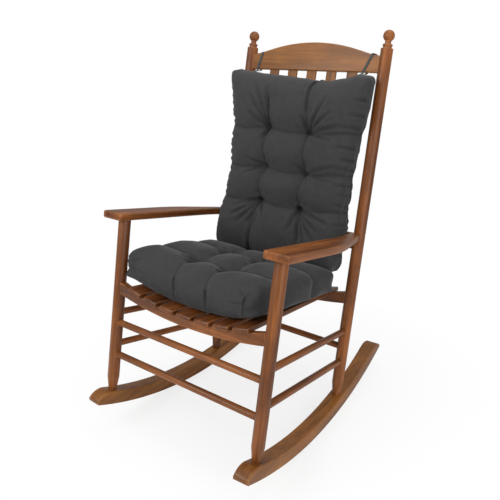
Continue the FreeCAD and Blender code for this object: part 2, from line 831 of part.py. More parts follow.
def rocker(name):
    """A rocker with its ends rolled down to blunt tips."""
    nose = dim("nose_reach")
    tail = dim("tail_reach")
    nose_bend = nose - dim("nose_roll")
    tail_bend = tail - dim("tail_roll")
    depth = dim("rocker_depth")
    nose_foot = sagitta(rocker_radius, nose)
    tail_foot = sagitta(rocker_radius, tail)
    body, pad = board(name, "YZ_Plane", dim("rocker_width"), (-nose, nose_foot), [
        bulge_right(ZERO, ZERO, rocker_radius),
        bulge_right(tail, tail_foot, rocker_radius),
        line(tail, tail_foot + dim("tail_tip")),
        bulge_right(tail_bend, depth + sagitta(rocker_top_radius, tail_bend), dim("tail_roll_radius")),
        bulge_left(ZERO, depth, rocker_top_radius),
        bulge_left(-nose_bend, depth + sagitta(rocker_top_radius, nose_bend), rocker_top_radius),
        bulge_right(-nose, nose_foot + dim("nose_tip"), dim("nose_roll_radius")),
        line(-nose, nose_foot),
    ])
    half_width = dim("rocker_width").value / 2

    def on_upper_edge(edge):
        sideways = all(abs(abs(vertex.Point.x) - half_width) < clearance.value for vertex in edge.Vertexes)
        middle = edge.valueAt((edge.FirstParameter + edge.LastParameter) / 2)
        from_centre = math.hypot(middle.y, rocker_radius.value - middle.z)
        return sideways and edge.Length > depth.value and from_centre < rocker_radius.value - clearance.value

    ease(body, pad, dim("rocker_edge_ease"), on_upper_edge)
    return body


for name, side in SIDES:
    body = rocker(f"rocker_{name}_sawn")
    body.Placement = rocker_frame(side)
    holes = []
    for end, frame in (("front", front_post_frame(side)), ("back", back_post_frame(side))):
        length = (dim("foot_tenon_length") + clearance) * 2
        holes.append(cylinder(f"rocker_{name}_socket_{end}", dim("foot_tenon_diameter") / 2 + clearance,
                              length, chair.multiply(frame)))
    finish(f"rocker_{name}", without(f"rocker_{name}_bored", body, holes), Placement())


# Cushions. Each is what three outlines have in common: its section across, its profile from one
# end to the other, and its plan. Pleated pits then draw it in where the tufts are sewn through.

base_edge_share = 0.875
side_bulge_share = 0.42
seat_shoulder_share = 0.92
back_shoulder_share = 0.82
crown_share = 1.02
outer_puff_share = 0.12

# the profile's turns: place along the cushion, height, and rise of the puff that ends there
seat_profile_shares = [
    (0.060, 0.86, 0.00),
    (0.260, 0.91, 0.10),
    (0.650, 0.91, 0.11),
    (0.945, 0.80, 0.10),
]
back_profile_shares = [
    (0.045, 0.82, 0.00),
    (0.304, 0.90, 0.14),
    (0.491, 0.89, 0.09),
    (0.702, 0.89, 0.10),
    (0.960, 0.72, 0.14),
]


def arc_to(turn, start, end, rise):
    """An arc from start to end that stands this far over the middle of its chord."""
    across = end[0] - start[0]
    up = end[1] - start[1]
    return (turn, end[0], end[1], (across * across + up * up) / (rise * 8) + rise / 2)


def cushion_section(edge, edge_height, bow_radius, shoulder, tuft, valley, puff_rise, channel):
    """Outline across a cushion: a dished base, two full sides and three puffs."""
    right = [(edge, edge_height), (edge, shoulder), (tuft, valley)]
    left = [(-spot[0], spot[1]) for spot in reversed(right)]
    side_rise = (shoulder - edge_height) * side_bulge_share
    return left[-1], [
        bulge_right(edge, edge_height, bow_radius),
        arc_to("bulge right", right[0], right[1], side_rise),
        arc_to("bulge right", right[1], right[2], puff_rise),
        arc_to("bulge right", right[2], left[0], channel),
        arc_to("bulge right", left[0], left[1], puff_rise),
        arc_to("bulge right", left[1], left[2], side_rise),
    ]


def cushion_profile(length, height, lift, shares):
    """Outline along a cushion: two full ends, and puffs that meet at the rows of tufts."""
    spots = [(length * along, lift + height * high) for along, high, _ in shares]
    foot = lift - overrun
    start = (spots[0][0], foot)
    end = (spots[-1][0], foot)
    steps = [arc_to("bulge left", start, spots[0], spots[0][0])]
    for before, spot, (_, _, rise) in zip(spots, spots[1:], shares[1:]):
        steps.append(arc_to("bulge left", before, spot, height * rise))
    steps.append(arc_to("bulge left", spots[-1], end, length - spots[-1][0]))
    steps.append(line(*start))
    return start, steps


def cushion_plan(half, waist, waist_end, waist_rise, length, corner):
    """Outline of a cushion from above, with round corners, and narrower up to its waist."""
    right = [
        line(waist - corner, ZERO),
        bulge_right(waist, corner, corner),
        line(waist, waist_end),
        line(half, waist_end + waist_rise),
        line(half, length - corner),
        bulge_right(half - corner, length, corner),
    ]
    spots = [(step[1], step[2]) for step in right]
    left = [("line", -spots[-1][0], spots[-1][1])]
    for step, spot in zip(reversed(right[1:]), reversed(spots[:-1])):
        left.append((step[0], -spot[0], spot[1]) + tuple(step[3:]))
    return (-spots[0][0], ZERO), right + left


def sewn_tuft(name):
    """A cutter for the pit where a tuft is sewn through, with eight faces like the pleats round it."""
    depth = dim("tuft_depth")
    mouth = dim("tuft_radius") * 2
    stitch = dim("tuft_stitch_radius")
    wedges = []
    for turn in ("square", "diamond"):
        wedge = doc.addObject("Part::Wedge", f"{name}_{turn}")
        for corner, size in (("Xmin", -stitch), ("Xmax", stitch), ("Zmin", -stitch), ("Zmax", stitch),
                             ("X2min", -mouth), ("X2max", mouth), ("Z2min", -mouth), ("Z2max", mouth),
                             ("Ymin", -depth), ("Ymax", depth)):
            bind(wedge, corner, size)
        wedges.append(wedge)
    standing = Placement(Vector(0, 0, 0), Rotation(X_AXIS, 90))
    wedges[0].Placement = standing
    wedges[1].Placement = Placement(Vector(0, 0, 0), Rotation(Z_AXIS, 45)).multiply(standing)
    pit = doc.addObject("Part::MultiCommon", name)
    pit.Shapes = wedges
    return pit


def cushion(node, frame, half, length, height, lift, bow_radius, shoulder_share, shares, tuft, channel,
            plan):
    """A tufted cushion, lying in the xy plane of frame with its length along y."""
    edge = half * base_edge_share
    valley = lift + height * crown_share - channel
    section, _ = board(f"{node}_across", "XZ_Plane", length * 2 + overrun * 2, *cushion_section(
        edge, lift + sagitta(bow_radius, edge), bow_radius, lift + height * shoulder_share,
        tuft, valley, height * outer_puff_share, channel))
    profile, _ = board(f"{node}_along", "YZ_Plane", (half + overrun) * 2,
                       *cushion_profile(length, height, lift, shares))
    above, _ = board(f"{node}_from_above", "XY_Plane", height * 3, *plan)
    stuffed = doc.addObject("Part::MultiCommon", f"{node}_stuffed")
    stuffed.Shapes = [section, profile, above]
    tufts = []
    for row, (along, high, _) in enumerate(shares[1:-1], start=1):
        for name, side in SIDES:
            pit = sewn_tuft(f"{node}_tuft_{name}_{row}")
            pit.Placement = at(tuft * side, length * along, lift + height * high)
            tufts.append(pit)
    finish(node, without(f"{node}_tufted", stuffed, tufts), frame)


seat_surface = slat_lift + slat_thickness
seat_cushion_front = dim("seat_cushion_front")
seat_cushion_length = dim("seat_cushion_length")
seat_cushion_half = dim("front_spread") - post_radius - dim("seat_cushion_side_gap")
cushion_corner = dim("cushion_corner_round")
rear_place = (seat_cushion_front + seat_cushion_length) / rail_distance
rear_dish = front_rail_radius + (rear_rail_radius - front_rail_radius) * rear_place
cushion("seat_cushion", chair.multiply(seat).multiply(at(0, seat_cushion_front, 0)),
        seat_cushion_half, seat_cushion_length, dim("seat_cushion_height"),
        seat_surface + dim("seat_clearance"), rear_dish - seat_surface - dim("seat_clearance"),
        seat_shoulder_share, seat_profile_shares, dim("seat_tuft_spread"), dim("seat_channel_depth"),
        cushion_plan(seat_cushion_half, seat_cushion_half, seat_cushion_length / 3,
                     seat_cushion_length / 3, seat_cushion_length, cushion_corner))

back_cushion_half = dim("back_cushion_width") / 2
back_cushion_length = crest_foot - dim("back_cushion_below_crest") - dim("back_cushion_foot")
back_cushion_flare = back_cushion_length - dim("back_cushion_waist_end") - cushion_corner * 2
leaning = Placement(Vector(0, 0, dim("back_cushion_foot").value), Rotation(X_AXIS, 90))
cushion("back_cushion", chair.multiply(back).multiply(leaning),
        back_cushion_half, back_cushion_length, dim("back_cushion_thickness"),
        crest_thickness / 2 + dim("seat_clearance"), dim("back_cushion_bow_radius"),
        back_shoulder_share, back_profile_shares, dim("back_tuft_spread"), dim("back_channel_depth"),
        cushion_plan(back_cushion_half, back_cushion_half - dim("back_cushion_waist"),
                     dim("back_cushion_waist_end"), back_cushion_flare, back_cushion_length,
                     cushion_corner))


# Ties: flat tape round the crest rail and down to the top seam of the back cushion

tape = dim("tie_thickness")
gap = dim("seat_clearance")
tie_half = dim("tie_width") / 2
tie_inside = crest_thickness / 2 + gap
tie_outside = tie_inside + tape
tie_foot = crest_foot - gap
tie_top = crest_ear_height(dim("tie_spread") - tie_half) + gap
seam_height = dim("back_cushion_foot") + back_cushion_length + gap
tie_start = (tie_outside, tie_foot - tape)
tie_steps = [
    line(tie_outside, tie_top + tape),
    line(-tie_outside, tie_top + tape),
    line(-tie_outside, tie_foot),
    line(-dim("tie_seam_forward"), seam_height + tape),
    line(-dim("tie_seam_forward"), seam_height),
    line(-tie_inside, tie_foot - tape),
    line(tie_outside, tie_foot - tape),
]
for name, side in SIDES:
    body, pad = board(f"tie_{name}_tape", "YZ_Plane", dim("tie_width"), tie_start, tie_steps)
    place = back.multiply(at(dim("tie_spread") * side, 0, 0))
    body.Placement = place
    bore = block(f"tie_{name}_bore", dim("tie_width") * 2, tie_inside * 2, tie_top - tie_foot,
                 place.multiply(at(0, 0, (tie_top + tie_foot) / 2)))
    finish(f"tie_{name}", without(f"tie_{name}_looped", body, [bore]), chair)


# Check and write

doc.recompute()
for item in doc.Objects:
    if "Invalid" in item.State or "Error" in item.State:
        raise RuntimeError(f"{item.Name} did not compute: {item.State}")
for node, piece in nodes.items():
    if piece.Shape.isNull() or not piece.Shape.isValid():
        raise RuntimeError(f"{node} has no valid shape")

os.makedirs("parts", exist_ok=True)
for node, piece in nodes.items():
    piece.Shape.exportStep(f"parts/{node}.step")
print(len(nodes), "pieces written")
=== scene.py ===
# %% [markdown]
# A tufted porch rocker in stained hickory
#
# The chair is a row of turned posts and rungs, sawn boards and two stuffed cushions. Its exact
# model arrives from the CAD file as a set of named nodes. This notebook dresses them: it softens
# the edges of the wood, stains it, stuffs the cushions and takes a studio photograph.

# %% Load the chair
import bmesh
import bpy
import math
import numpy as np
from mathutils import Matrix, Vector, noise


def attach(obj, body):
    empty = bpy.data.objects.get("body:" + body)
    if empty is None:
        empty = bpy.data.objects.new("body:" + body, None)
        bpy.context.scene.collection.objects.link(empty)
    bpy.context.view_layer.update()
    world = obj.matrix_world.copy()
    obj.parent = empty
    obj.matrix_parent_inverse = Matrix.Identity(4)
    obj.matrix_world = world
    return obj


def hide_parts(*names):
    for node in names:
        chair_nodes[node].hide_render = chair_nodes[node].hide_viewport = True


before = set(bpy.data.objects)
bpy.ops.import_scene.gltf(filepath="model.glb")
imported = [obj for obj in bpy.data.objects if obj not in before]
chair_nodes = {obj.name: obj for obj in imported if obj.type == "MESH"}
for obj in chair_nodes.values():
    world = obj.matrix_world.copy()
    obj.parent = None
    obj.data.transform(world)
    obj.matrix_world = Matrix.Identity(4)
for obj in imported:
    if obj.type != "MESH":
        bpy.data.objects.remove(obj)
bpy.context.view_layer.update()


# %% [markdown]
# The chair's own directions
#
# The chair leans back on its rockers, so its posts aren't upright and its arms aren't level. A
# frame of its own, tilted with the posts, makes it easy to say where a tuft is or which way the
# grain runs. Further frames stand on it: one on the seat, one in the plane of the back posts, and
# one at the foot of the back cushion. Places in them are in millimetres.

# %% Frames of the leaning chair
MM = 0.001
RECLINE = math.radians(13.4)
SEAT_RISE = math.radians(3.6)
BACK_LEAN = math.radians(0.45)
FRONT_FEET = (-356.75, 121.0)
BACK_FEET = (480, 33.9)
SEAT_HEIGHT = 316.5
SEAT_CUSHION_FRONT = 16
BACK_CUSHION_FOOT = 412


def standing_at(y, z, tilt):
    """A frame turned about the sideways axis, with its origin at y and z in millimetres."""
    return Matrix.Translation((0, y * MM, z * MM)) @ Matrix.Rotation(tilt, 4, "X")


chair = standing_at(*FRONT_FEET, -RECLINE)
seat_cushion_frame = chair @ standing_at(0, SEAT_HEIGHT, SEAT_RISE) @ standing_at(SEAT_CUSHION_FRONT, 0, 0)
back_frame = chair @ standing_at(*BACK_FEET, -BACK_LEAN)
back_cushion_frame = back_frame @ standing_at(0, BACK_CUSHION_FOOT, math.radians(90))
print("seat cushion starts at", [round(place, 3) for place in seat_cushion_frame.translation])


# %% [markdown]
# The camera
#
# The picture is taken from the sitter's front left, a little above the seat, with a lens close to
# a portrait lens. The whole chair fits the square frame. A small shift moves the picture without
# turning the camera, so upright lines keep their slant. The focal length and the shift are in
# pixels of a picture 500 pixels wide, and the camera's three vectors are in the chair's own frame.

# %% Camera
PICTURE_SIDE = 500
FOCAL_LENGTH = 573.99
SHIFT_RIGHT = 0.32
SHIFT_UP = 4.09
CAMERA_ROLL = math.radians(-0.22)
camera_place = chair @ Vector((1.0000, -1.1649, 0.8219))
camera_aim = chair @ Vector((0.0, 0.2621, 0.4735))
camera_up = chair.to_3x3() @ Vector((0.0, -0.1977, 0.9803))

camera_data = bpy.data.cameras.new("studio camera")
camera_data.sensor_width = 36.0
camera_data.lens = camera_data.sensor_width * FOCAL_LENGTH / PICTURE_SIDE
camera_data.shift_x = SHIFT_RIGHT / PICTURE_SIDE
camera_data.shift_y = SHIFT_UP / PICTURE_SIDE
camera_data.clip_start = 0.05
camera = bpy.data.objects.new("studio camera", camera_data)
bpy.context.scene.collection.objects.link(camera)
bpy.context.scene.camera = camera

looking = (camera_aim - camera_place).normalized()
rightwards = looking.cross(camera_up).normalized()
upwards = rightwards.cross(looking)
camera.matrix_world = (
    Matrix.Translation(camera_place)
    @ Matrix((rightwards, upwards, -looking)).transposed().to_4x4()
    @ Matrix.Rotation(CAMERA_ROLL, 4, "Z")
)
print("camera at", [round(place, 3) for place in camera_place])


# %% [markdown]
# Softening the wood
#
# A sawn board or a turned post never has a knife edge: sanding rounds it by a millimetre or two,
# and that thin rounding is what catches the light. The CAD mesh comes as loose triangles with
# hard corners. A copy of it is welded, its flat faces are joined up again, and a Bevel modifier
# rounds every corner sharper than the facets of a turned face. The dowels are hidden between the
# arms and the back posts, so their node stays as it is and only gets a better material.

# %% From a node to a piece
WELD_GAP = 0.02 * MM


def welded(node):
    """A node's loose triangles, joined at their corners."""
    shape = bmesh.new()
    shape.from_mesh(chair_nodes[node].data)
    bmesh.ops.remove_doubles(shape, verts=shape.verts, dist=WELD_GAP)
    return shape


def new_piece(name, shape):
    """An object in the scene made from a bmesh, which is used up."""
    mesh = bpy.data.meshes.new(name)
    shape.to_mesh(mesh)
    shape.free()
    piece = bpy.data.objects.new(name, mesh)
    bpy.context.scene.collection.objects.link(piece)
    return piece


# %% Softened copies of the wooden nodes
FLAT_ANGLE = math.radians(0.5)
FACET_ANGLE = math.radians(32)


def softened(node, rounding):
    """A copy of a node with its corners rounded by this much, in millimetres."""
    shape = welded(node)
    bmesh.ops.dissolve_limit(shape, angle_limit=FLAT_ANGLE, verts=shape.verts, edges=shape.edges,
                             delimit=set())
    piece = new_piece(f"{node}_softened", shape)
    piece.data.shade_smooth()
    corner = piece.modifiers.new("sanded corners", "BEVEL")
    corner.width = rounding * MM
    corner.segments = 3
    corner.limit_method = "ANGLE"
    corner.angle_limit = FACET_ANGLE
    corner.harden_normals = True
    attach(piece, "root")
    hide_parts(node)
    return piece


ROUNDINGS = {
    "rocker": 1.6,
    "front_post": 0.8,
    "back_post": 0.8,
    "arm": 1.6,
    "seat_rail": 1.2,
    "seat_slat": 1.6,
    "crest": 1.4,
    "lower_back": 1.4,
    "back_slat": 1.0,
}
RUNG_ROUNDING = 0.5
wood = {}
for node in sorted(chair_nodes):
    for start_of_name, rounding in ROUNDINGS.items():
        if node.startswith(start_of_name) and node != "arm_dowels":
            wood[node] = softened(node, rounding)
for node in sorted(chair_nodes):
    if "stretcher" in node:
        wood[node] = softened(node, RUNG_ROUNDING)
print(len(wood), "wooden pieces softened")


# %% [markdown]
# Stained hickory
#
# Hickory has a straight, open grain: long pale and dark streaks, and short dark pores where the
# stain has pooled. All of it runs along the board. One node group draws this figure along Z, and
# each material first turns its own coordinates so that Z lies along the wood. Object coordinates
# are used, so the figure goes through the wood and meets itself at the corners.

# %% Helpers for node groups
def new_group(name, inputs, outputs):
    """An empty shader node group with named sockets, and its input and output nodes."""
    group = bpy.data.node_groups.new(name, "ShaderNodeTree")
    for title, kind, value in inputs:
        socket = group.interface.new_socket(title, in_out="INPUT", socket_type=kind)
        if value is not None:
            socket.default_value = value
    for title, kind in outputs:
        group.interface.new_socket(title, in_out="OUTPUT", socket_type=kind)
    return group, group.nodes.new("NodeGroupInput"), group.nodes.new("NodeGroupOutput")


def stretched_noise(tree, vector, stretch, detail, roughness):
    """Noise on coordinates stretched by three factors. Returns its value socket."""
    scaled = tree.nodes.new("ShaderNodeVectorMath")
    scaled.operation = "MULTIPLY"
    scaled.inputs[1].default_value = stretch
    tree.links.new(vector, scaled.inputs[0])
    texture = tree.nodes.new("ShaderNodeTexNoise")
    texture.inputs["Scale"].default_value = 1.0
    texture.inputs["Detail"].default_value = detail
    texture.inputs["Roughness"].default_value = roughness
    tree.links.new(scaled.outputs[0], texture.inputs["Vector"])
    return texture.outputs["Fac"]


def remapped(tree, value, low, high, to_low=0.0, to_high=1.0):
    """Stretch a value from one range to another, clamped at both ends."""
    node = tree.nodes.new("ShaderNodeMapRange")
    node.inputs["From Min"].default_value = low
    node.inputs["From Max"].default_value = high
    node.inputs["To Min"].default_value = to_low
    node.inputs["To Max"].default_value = to_high
    tree.links.new(value, node.inputs["Value"])
    return node.outputs["Result"]


def calculated(tree, operation, first, second):
    """A Math node on two sockets or numbers."""
    node = tree.nodes.new("ShaderNodeMath")
    node.operation = operation
    for place, value in enumerate((first, second)):
        if isinstance(value, (int, float)):
            node.inputs[place].default_value = value
        else:
            tree.links.new(value, node.inputs[place])
    return node.outputs[0]


def mixed(tree, share, first, second):
    """A colour mix of two sockets or colours."""
    node = tree.nodes.new("ShaderNodeMix")
    node.data_type = "RGBA"
    for socket, value in ((node.inputs[0], share), (node.inputs[6], first), (node.inputs[7], second)):
        if isinstance(value, (int, float, tuple)):
            socket.default_value = value
        else:
            tree.links.new(value, socket)
    return node.outputs[2]


def use_group(tree, group):
    """Place a node group in a material."""
    node = tree.nodes.new("ShaderNodeGroup")
    node.node_tree = group
    return node


# %% The figure of the wood
figure, figure_in, figure_out = new_group(
    "hickory figure",
    [("Vector", "NodeSocketVector", None),
     ("Dark", "NodeSocketColor", (0.1, 0.03, 0.012, 1)),
     ("Light", "NodeSocketColor", (0.3, 0.12, 0.05, 1)),
     ("Pore", "NodeSocketColor", (0.03, 0.01, 0.005, 1))],
    [("Color", "NodeSocketColor"), ("Height", "NodeSocketFloat"), ("Roughness", "NodeSocketFloat")])
along = figure_in.outputs["Vector"]
# A noise with a small last factor runs a long way along the board before it changes.
broad = stretched_noise(figure, along, (22, 22, 1.6), 3, 0.5)
streak = stretched_noise(figure, along, (120, 120, 4), 4, 0.6)
pores = stretched_noise(figure, along, (900, 900, 28), 2, 0.5)
mottle = stretched_noise(figure, along, (14, 14, 9), 2, 0.5)
bands = calculated(figure, "ADD", calculated(figure, "MULTIPLY", broad, 0.6),
                   calculated(figure, "MULTIPLY", streak, 0.4))
share = remapped(figure, bands, 0.38, 0.60)
stain = mixed(figure, share, figure_in.outputs["Dark"], figure_in.outputs["Light"])
clouded = mixed(figure, remapped(figure, mottle, 0.38, 0.66, 0.0, 0.5), stain, figure_in.outputs["Dark"])
pore_mask = remapped(figure, pores, 0.60, 0.70, 0.0, 0.55)
stained = mixed(figure, pore_mask, clouded, figure_in.outputs["Pore"])
figure.links.new(stained, figure_out.inputs["Color"])
figure.links.new(calculated(figure, "SUBTRACT", calculated(figure, "MULTIPLY", streak, 0.4), pore_mask),
                 figure_out.inputs["Height"])
figure.links.new(remapped(figure, bands, 0.3, 0.7, 0.36, 0.48), figure_out.inputs["Roughness"])
print("figure group has", len(figure.nodes), "nodes")


# %% [markdown]
# Wear and painted highlights along the edges
#
# Stain is thinnest where sandpaper bites, so corners are painted paler: partly that wear, partly a
# painted highlight where the rounded edges catch the light. The Bevel node gives the normal of a
# rounded version of the surface. Where it differs from the true normal there is a corner nearby,
# and that difference makes the mask.

# %% Edge wear and painted highlights
wear_and_highlight, wear_and_highlight_in, wear_and_highlight_out = new_group(
    "rubbed and highlighted edges",
    [("Reach", "NodeSocketFloat", 0.003), ("Amount", "NodeSocketFloat", 0.75)],
    [("Mask", "NodeSocketFloat")])
rounded = wear_and_highlight.nodes.new("ShaderNodeBevel")
rounded.samples = 4
wear_and_highlight.links.new(wear_and_highlight_in.outputs["Reach"], rounded.inputs["Radius"])
surface = wear_and_highlight.nodes.new("ShaderNodeNewGeometry")
agreement = wear_and_highlight.nodes.new("ShaderNodeVectorMath")
agreement.operation = "DOT_PRODUCT"
wear_and_highlight.links.new(rounded.outputs["Normal"], agreement.inputs[0])
wear_and_highlight.links.new(surface.outputs["Normal"], agreement.inputs[1])
corner_share = remapped(wear_and_highlight, agreement.outputs["Value"], 0.995, 0.90)
wear_and_highlight.links.new(calculated(wear_and_highlight, "MULTIPLY", corner_share, wear_and_highlight_in.outputs["Amount"]),
               wear_and_highlight_out.inputs["Mask"])


# %% Wood materials
GRAIN_TURNS = {
    "upright": (RECLINE, 0, 0),
    "sideways": (0, math.radians(90), 0),
    "lengthwise": (RECLINE + math.radians(90), 0, 0),
    "on the floor": (math.radians(90), 0, 0),
}


# The pale colour of the edges: partly rubbed wear, partly a painted highlight where rounded edges catch
# the light.
WORN_AND_HIGHLIGHT = (0.43, 0.19, 0.060, 1)
PORE_DARKNESS = 0.35


def darker(colour, share):
    """A colour at a share of its brightness."""
    return tuple(part * share for part in colour[:3]) + (1,)


def stained_hickory(name, grain, dark, light, roughness_shift):
    """A stained wood whose grain runs one way, with paler edges: partly rubbed wear, partly a painted
    highlight.
    """
    material = bpy.data.materials.new(name)
    material.use_nodes = True
    tree = material.node_tree
    shader = tree.nodes["Principled BSDF"]
    coordinates = tree.nodes.new("ShaderNodeTexCoord")
    turn = tree.nodes.new("ShaderNodeMapping")
    turn.inputs["Rotation"].default_value = GRAIN_TURNS[grain]
    tree.links.new(coordinates.outputs["Object"], turn.inputs["Vector"])
    drawn = use_group(tree, figure)
    drawn.inputs["Dark"].default_value = dark
    drawn.inputs["Light"].default_value = light
    drawn.inputs["Pore"].default_value = darker(dark, PORE_DARKNESS)
    tree.links.new(turn.outputs["Vector"], drawn.inputs["Vector"])
    rubbed_and_highlighted = use_group(tree, wear_and_highlight)
    # The paler edges are partly wear and partly a painted highlight.
    colour = mixed(tree, rubbed_and_highlighted.outputs["Mask"], drawn.outputs["Color"], WORN_AND_HIGHLIGHT)
    tree.links.new(colour, shader.inputs["Base Color"])
    tree.links.new(calculated(tree, "ADD", drawn.outputs["Roughness"], roughness_shift),
                   shader.inputs["Roughness"])
    bump = tree.nodes.new("ShaderNodeBump")
    bump.inputs["Strength"].default_value = 0.25
    bump.inputs["Distance"].default_value = 0.0004
    tree.links.new(drawn.outputs["Height"], bump.inputs["Height"])
    tree.links.new(bump.outputs["Normal"], shader.inputs["Normal"])
    shader.inputs["Specular IOR Level"].default_value = 0.28
    shader.inputs["Coat Weight"].default_value = 0.08
    shader.inputs["Coat Roughness"].default_value = 0.25
    return material


# A stain is its dark colour, its light colour and how much rougher than the figure it is. It follows
# how a board looks, and the slot in the last column is what the record calls the board's wood.
STAINS = {
    "turned": ((0.072, 0.020, 0.004, 1), (0.290, 0.093, 0.019, 1), 0.0),
    "sawn": ((0.135, 0.047, 0.009, 1), (0.315, 0.124, 0.026, 1), 0.04),
    # The seat slats' stain is darker than the other boards' as painted shade for the shadow the cushion
    # casts on them.
    "painted-shade seat slat": ((0.040, 0.011, 0.003, 1), (0.190, 0.058, 0.013, 1), -0.04),
}
FINISH_OF = [
    ("rocker", "sawn", "on the floor", "turned_hickory"),
    ("front_post", "turned", "upright", "turned_hickory"),
    ("back_post", "turned", "upright", "turned_hickory"),
    ("back_slat", "sawn", "upright", "sawn_hickory"),
    ("arm", "turned", "lengthwise", "sawn_hickory"),
    # The seat slats take the stain darkened as painted shade.
    ("seat_slat", "painted-shade seat slat", "lengthwise", "sawn_hickory"),
    ("side_stretcher", "turned", "lengthwise", "turned_hickory"),
    ("seat_rail", "turned", "sideways", "sawn_hickory"),
    ("crest", "sawn", "sideways", "sawn_hickory"),
    ("lower_back", "sawn", "sideways", "sawn_hickory"),
    ("front_stretcher", "turned", "sideways", "turned_hickory"),
    ("rear_stretcher", "turned", "sideways", "turned_hickory"),
]
DOWEL_FINISH = ("sawn", "lengthwise")
finishes = {}
for stain, grain in [DOWEL_FINISH] + [row[1:3] for row in FINISH_OF]:
    if (stain, grain) not in finishes:
        finishes[stain, grain] = stained_hickory(f"{stain} hickory {grain}", grain, *STAINS[stain])
for node, piece in wood.items():
    for start_of_name, stain, grain, slot in FINISH_OF:
        if node.startswith(start_of_name):
            piece.data.materials.append(finishes[stain, grain])
chair_nodes["arm_dowels"].data.materials.clear()
chair_nodes["arm_dowels"].data.materials.append(finishes[DOWEL_FINISH])
print(len(finishes), "wood materials")


# %% [markdown]
# Stuffing the cushions
#
# Both cushions are cloth covers over loose fibre, sewn through at the tufts. The maker's cover is
# cut flat and swells when it is stuffed, until the threads stop it. The same is done here: a copy
# of the CAD solid is remeshed into even small faces and drawn in a little, the tufts and the
# sewn lines between them are held, and Blender's cloth blows it up with air pressure. A limit on
# how far a point may move keeps it off the wood. NumPy does the sums on all vertices at once.

# %% Reading and moving the vertices of a cover
def spots_of(mesh, place):
    """The vertices' places in a cushion's own frame, in millimetres, one row each."""
    numbers = np.empty(len(mesh.vertices) * 3)
    mesh.vertices.foreach_get("co", numbers)
    back = np.array(place.inverted())
    return (numbers.reshape(-1, 3) @ back[:3, :3].T + back[:3, 3]) / MM


def outward_of(mesh, place):
    """The vertices' normals in a cushion's own frame."""
    numbers = np.empty(len(mesh.vertices) * 3)
    mesh.vertices.foreach_get("normal", numbers)
    return numbers.reshape(-1, 3) @ np.array(place)[:3, :3]


def put_spots(mesh, place, spots):
    """Move the vertices to these places in a cushion's own frame."""
    there = np.array(place)
    mesh.vertices.foreach_set("co", (spots * MM @ there[:3, :3].T + there[:3, 3]).ravel())
    mesh.update()


def resting_share(outward):
    """How much each vertex faces down to what the cushion lies on, 0 to 1."""
    return np.clip(-outward[:, 2] * 1.5, 0, 1)


# %% A cover from a node
SMOOTHINGS = 5
DRAWN_IN = 8.0
RESTING_LIFT = 0.4


def applied(piece):
    """Give a piece the mesh that its modifiers make, and take them off it."""
    mesh = bpy.data.meshes.new_from_object(piece.evaluated_get(bpy.context.evaluated_depsgraph_get()))
    piece.modifiers.clear()
    piece.data = mesh
    return mesh


def cover_blank(node, place, voxel):
    """A copy of a cushion in even small faces, drawn in except where it rests."""
    piece = new_piece(f"{node}_cover", welded(node))
    even = piece.modifiers.new("even faces", "REMESH")
    even.mode = "VOXEL"
    even.voxel_size = voxel * MM
    bpy.context.view_layer.update()
    fine = applied(piece)
    shape = bmesh.new()
    shape.from_mesh(fine)
    for _ in range(SMOOTHINGS):
        bmesh.ops.smooth_vert(shape, verts=shape.verts, factor=0.5, use_axis_x=True,
                              use_axis_y=True, use_axis_z=True)
    shape.to_mesh(fine)
    shape.free()
    spots, outward = spots_of(fine, place), outward_of(fine, place)
    resting = resting_share(outward)
    spots -= outward * (DRAWN_IN * (1 - resting))[:, None]
    spots[:, 2] += RESTING_LIFT * resting
    put_spots(fine, place, spots)
    return piece


# %% Stuffing a cover
PRESSURE = 9.0
MOST_SWELL = 14.0
STUFFING_STEPS = 14


def stuffed(piece, held):
    """Blow a cover up with some vertices held, and cap how far each point moves."""
    threads = piece.vertex_groups.new(name="sewn")
    for index in np.nonzero(held)[0]:
        threads.add([int(index)], float(held[index]), "REPLACE")
    start = [vertex.co.copy() for vertex in piece.data.vertices]
    stuffing = piece.modifiers.new("stuffing", "CLOTH")
    cloth = stuffing.settings
    cloth.quality = 3
    cloth.mass = 0.2
    cloth.tension_stiffness = 8
    cloth.compression_stiffness = 8
    cloth.shear_stiffness = 3
    cloth.bending_stiffness = 0.2
    cloth.use_pressure = True
    cloth.uniform_pressure_force = PRESSURE
    cloth.vertex_group_mass = threads.name
    cloth.effector_weights.gravity = 0
    stuffing.collision_settings.use_collision = False
    stuffing.collision_settings.use_self_collision = False
    scene = bpy.context.scene
    for step in range(1, STUFFING_STEPS + 1):
        scene.frame_set(step)
    swollen = piece.evaluated_get(bpy.context.evaluated_depsgraph_get()).data
    moved = [vertex.co - before for vertex, before in zip(swollen.vertices, start)]
    piece.modifiers.clear()
    for vertex, before, move in zip(piece.data.vertices, start, moved):
        if move.length > MOST_SWELL * MM:
            move = move * (MOST_SWELL * MM / move.length)
        vertex.co = before + move
    piece.vertex_groups.clear()
    scene.frame_set(1)
    piece.data.update()
    furthest = max(move.length for move in moved) / MM
    print(piece.name, "would swell by", round(furthest, 1), "mm and may by", MOST_SWELL, "mm")


# %% [markdown]
# Where the thread pulls
#
# The seat cushion has two rows of two tufts, the back cushion three rows of two. Sewn lines run
# from tuft to tuft and on over the edges, and the cover rises between them into puffs. To say
# where a line runs down the front or a side, the sides are folded out flat around the top, as on
# the maker's pattern. Every line is then a few points on that flat pattern, in millimetres.

# %% The flat pattern of a cushion
EDGE_STRIP = 40
EDGE_FADE = 20
HAND_WANDER = 3.0


